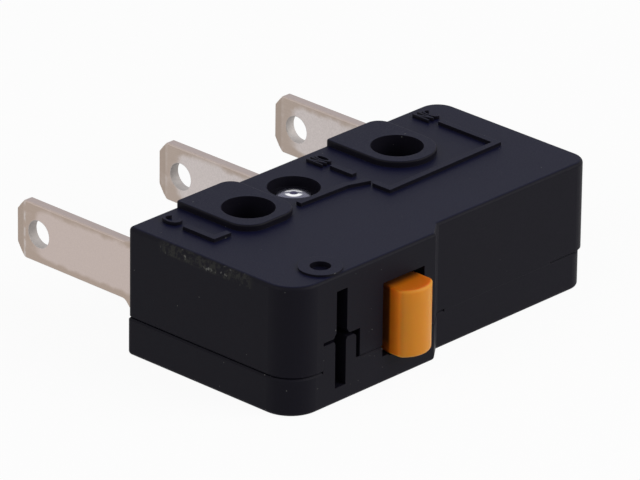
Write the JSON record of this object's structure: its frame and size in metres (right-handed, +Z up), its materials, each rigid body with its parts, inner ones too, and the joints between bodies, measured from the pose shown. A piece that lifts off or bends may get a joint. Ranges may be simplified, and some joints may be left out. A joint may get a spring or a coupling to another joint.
{
  "type": "micro switch",
  "caption": "Subminiature snap-action micro switch: flat black housing with mounting holes, pin plunger, flat tab terminals and a raised circuit diagram.",
  "frame": {"origin": "axis of the mounting hole nearer the common terminal, at the flat face that the switch rests on", "axes": "+X along the row of terminals towards the second mounting hole, +Y along the tab terminals away from the plunger, +Z up from the rest face along both holes"},
  "size_m": [0.0199, 0.0194, 0.0064],
  "materials": {
    "housing_plastic": "fine matt moulded, black with a slight blue cast",
    "plunger_plastic": "satin moulded, amber brown",
    "rivet_metal": "bright, pressed",
    "plated_brass": "dull silver plating over stamped sheet, warmer on the cut edges",
    "contact_silver": "bright silver",
    "spring_bronze": "rolled spring sheet",
    "lever_steel": "rolled sheet",
    "spring_steel": "drawn wire"
  },
  "bodies": {
    "housing": {"case": "housing_plastic", "cover": "housing_plastic", "clamp_rivet": "rivet_metal", "common_terminal": "plated_brass", "normally_open_terminal": "plated_brass", "normally_closed_terminal": "plated_brass", "normally_open_contact": "contact_silver", "normally_closed_contact": "contact_silver", "tension_spring": "spring_steel"},
    "plunger": {"plunger": "plunger_plastic"},
    "lever": {"actuating_lever": "lever_steel"},
    "arm": {"contact_arm": "spring_bronze", "moving_contact": "contact_silver"}
  },
  "joints": [
    {"name": "plunger_press", "type": "slide", "parent": "housing", "child": "plunger", "axis": [0, 1, 0], "range_m": [0, 0.0009], "stiffness_N_per_m": 900, "springref_m": -0.00067, "deforming": ["tension_spring"]},
    {"name": "lever_turn", "type": "hinge", "parent": "housing", "child": "lever", "pos_m": [-0.00328, -0.00547, 0.00305], "axis": [0, 0, 1], "range_deg": [0, 9.1]},
    {"name": "arm_turn", "type": "hinge", "parent": "housing", "child": "arm", "pos_m": [0.00168, -0.00395, 0.00305], "axis": [0, 0, 1], "range_deg": [0, 2.75]}
  ],
  "couplings": [
    {"joint": "lever_turn", "follows": "plunger_press", "rad_per_m": 176},
    {"joint": "arm_turn", "follows": "plunger_press", "rad_per_m": 52.5}
  ]
}
